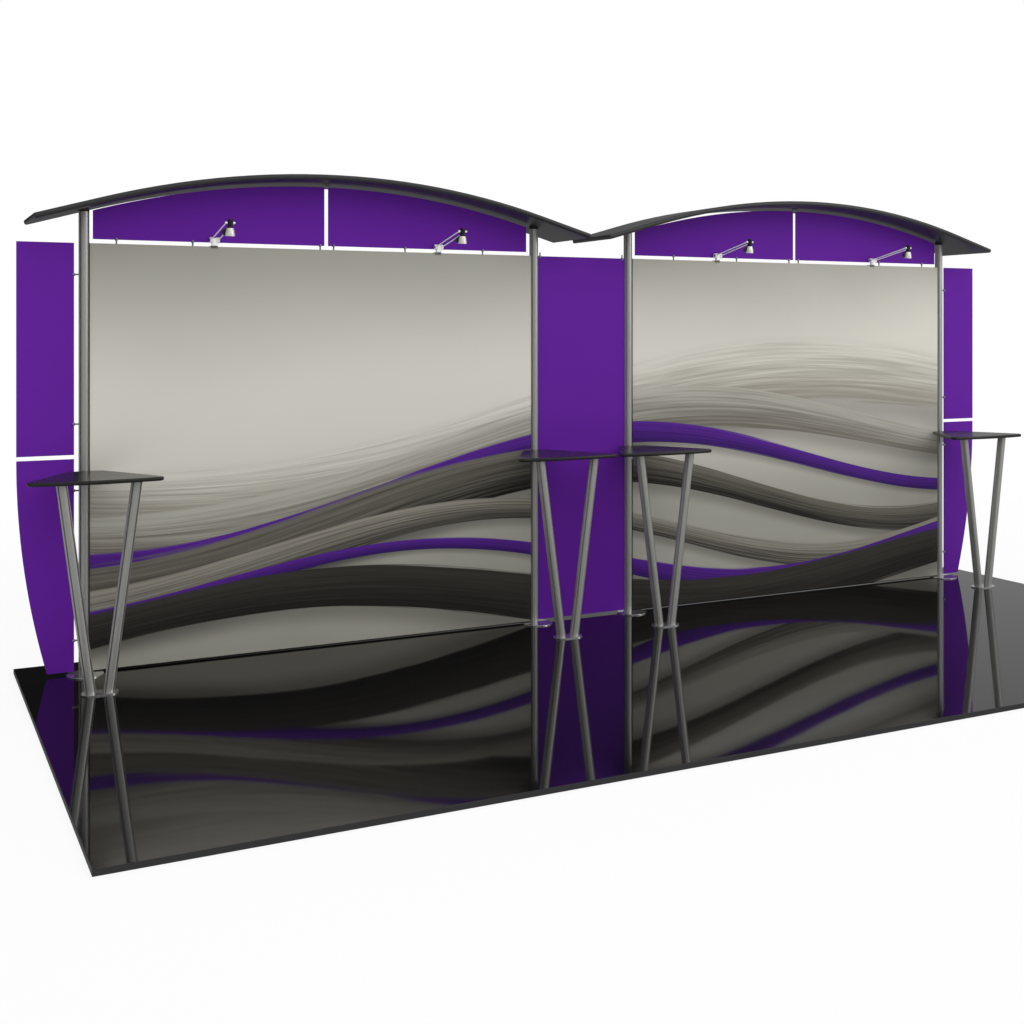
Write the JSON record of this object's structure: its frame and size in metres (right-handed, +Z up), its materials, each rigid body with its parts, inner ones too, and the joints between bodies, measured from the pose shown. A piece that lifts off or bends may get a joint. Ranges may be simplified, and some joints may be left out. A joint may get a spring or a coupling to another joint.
{
  "type": "trade show display",
  "caption": "Free-standing exhibition wall on a raised gloss floor: arched canopies on round posts, printed fabric walls, purple panels, stand-up counters and tilting clip-on lights.",
  "frame": {"origin": "middle of the floor's underside", "axes": "+X along the wall to the viewer's right, +Y to the back, +Z up"},
  "size_m": [6.11, 2.711, 2.486],
  "materials": {
    "deck_board": "plain board",
    "floor_gloss": "high gloss black",
    "floor_trim": "dark anodised",
    "polished_steel": "polished",
    "steel_fitting": "satin black",
    "grooved_aluminium": "silver anodised",
    "hanger_grey": "satin grey",
    "dark_bolt": "blackened",
    "canopy_laminate": "dark grey laminate",
    "purple_panel": "satin purple",
    "standoff_metal": "satin",
    "mural_print": "printed stretch fabric",
    "frame_aluminium": "black anodised",
    "counter_laminate": "dark warm grey laminate",
    "bracket_metal": "satin",
    "jaw_grey": "satin grey",
    "clamp_white": "white gloss",
    "arm_white": "white gloss",
    "socket_black": "black",
    "reflector_pale": "pale satin",
    "lamp_glass": "clear"
  },
  "bodies": {
    "display": {"canopy_hanger_bolts": "dark_bolt", "canopy_hangers": "hanger_grey", "canopy_left": "canopy_laminate", "canopy_right": "canopy_laminate", "centre_panel": "purple_panel", "counter_brackets": "bracket_metal", "counter_foot_plates": "polished_steel", "counter_legs_left_inner": "grooved_aluminium", "counter_legs_left_outer": "grooved_aluminium", "counter_legs_right_inner": "grooved_aluminium", "counter_legs_right_outer": "grooved_aluminium", "counter_top_left_inner": "counter_laminate", "counter_top_left_outer": "counter_laminate", "counter_top_right_inner": "counter_laminate", "counter_top_right_outer": "counter_laminate", "floor_deck_panels": "deck_board", "floor_edge_trims": "floor_trim", "floor_laminate": "floor_gloss", "header_panel_left_inner": "purple_panel", "header_panel_left_outer": "purple_panel", "header_panel_right_inner": "purple_panel", "header_panel_right_outer": "purple_panel", "light_blocks": "clamp_white", "light_jaws": "jaw_grey", "light_pivot_bolts": "dark_bolt", "mural_corner_keys": "steel_fitting", "mural_fabric_left": "mural_print", "mural_fabric_right": "mural_print", "mural_mullions": "frame_aluminium", "mural_rails": "frame_aluminium", "mural_stiles": "frame_aluminium", "panel_standoffs": "standoff_metal", "post_base_discs": "polished_steel", "post_left_inner": "grooved_aluminium", "post_left_outer": "grooved_aluminium", "post_right_inner": "grooved_aluminium", "post_right_outer": "grooved_aluminium", "post_top_saddles": "steel_fitting", "wing_panel_left_lower": "purple_panel", "wing_panel_left_upper": "purple_panel", "wing_panel_right_lower": "purple_panel", "wing_panel_right_upper": "purple_panel"},
    "light_arm_1": {"light_arm_1": "arm_white"},
    "light_head_1": {"light_socket_1": "socket_black", "light_reflector_1": "reflector_pale", "light_lamp_1": "lamp_glass"},
    "light_arm_2": {"light_arm_2": "arm_white"},
    "light_head_2": {"light_socket_2": "socket_black", "light_reflector_2": "reflector_pale", "light_lamp_2": "lamp_glass"},
    "light_arm_3": {"light_arm_3": "arm_white"},
    "light_head_3": {"light_socket_3": "socket_black", "light_reflector_3": "reflector_pale", "light_lamp_3": "lamp_glass"},
    "light_arm_4": {"light_arm_4": "arm_white"},
    "light_head_4": {"light_socket_4": "socket_black", "light_reflector_4": "reflector_pale", "light_lamp_4": "lamp_glass"}
  },
  "joints": [
    {"name": "light_arm_lift_1", "type": "hinge", "parent": "display", "child": "light_arm_1", "pos_m": [-2.124, 1.1, 2.145], "axis": [-1, 0, 0], "range_deg": [-40, 30]},
    {"name": "light_head_tilt_1", "type": "hinge", "parent": "light_arm_1", "child": "light_head_1", "pos_m": [-2.124, 0.765, 2.209], "axis": [1, 0, 0], "range_deg": [-50, 28]},
    {"name": "light_arm_lift_2", "type": "hinge", "parent": "display", "child": "light_arm_2", "pos_m": [-0.904, 1.1, 2.145], "axis": [-1, 0, 0], "range_deg": [-40, 30]},
    {"name": "light_head_tilt_2", "type": "hinge", "parent": "light_arm_2", "child": "light_head_2", "pos_m": [-0.904, 0.765, 2.209], "axis": [1, 0, 0], "range_deg": [-50, 28]},
    {"name": "light_arm_lift_3", "type": "hinge", "parent": "display", "child": "light_arm_3", "pos_m": [0.936, 1.1, 2.145], "axis": [-1, 0, 0], "range_deg": [-40, 30]},
    {"name": "light_head_tilt_3", "type": "hinge", "parent": "light_arm_3", "child": "light_head_3", "pos_m": [0.936, 0.765, 2.209], "axis": [1, 0, 0], "range_deg": [-50, 28]},
    {"name": "light_arm_lift_4", "type": "hinge", "parent": "display", "child": "light_arm_4", "pos_m": [2.156, 1.1, 2.145], "axis": [-1, 0, 0], "range_deg": [-40, 30]},
    {"name": "light_head_tilt_4", "type": "hinge", "parent": "light_arm_4", "child": "light_head_4", "pos_m": [2.156, 0.765, 2.209], "axis": [1, 0, 0], "range_deg": [-50, 28]}
  ]
}
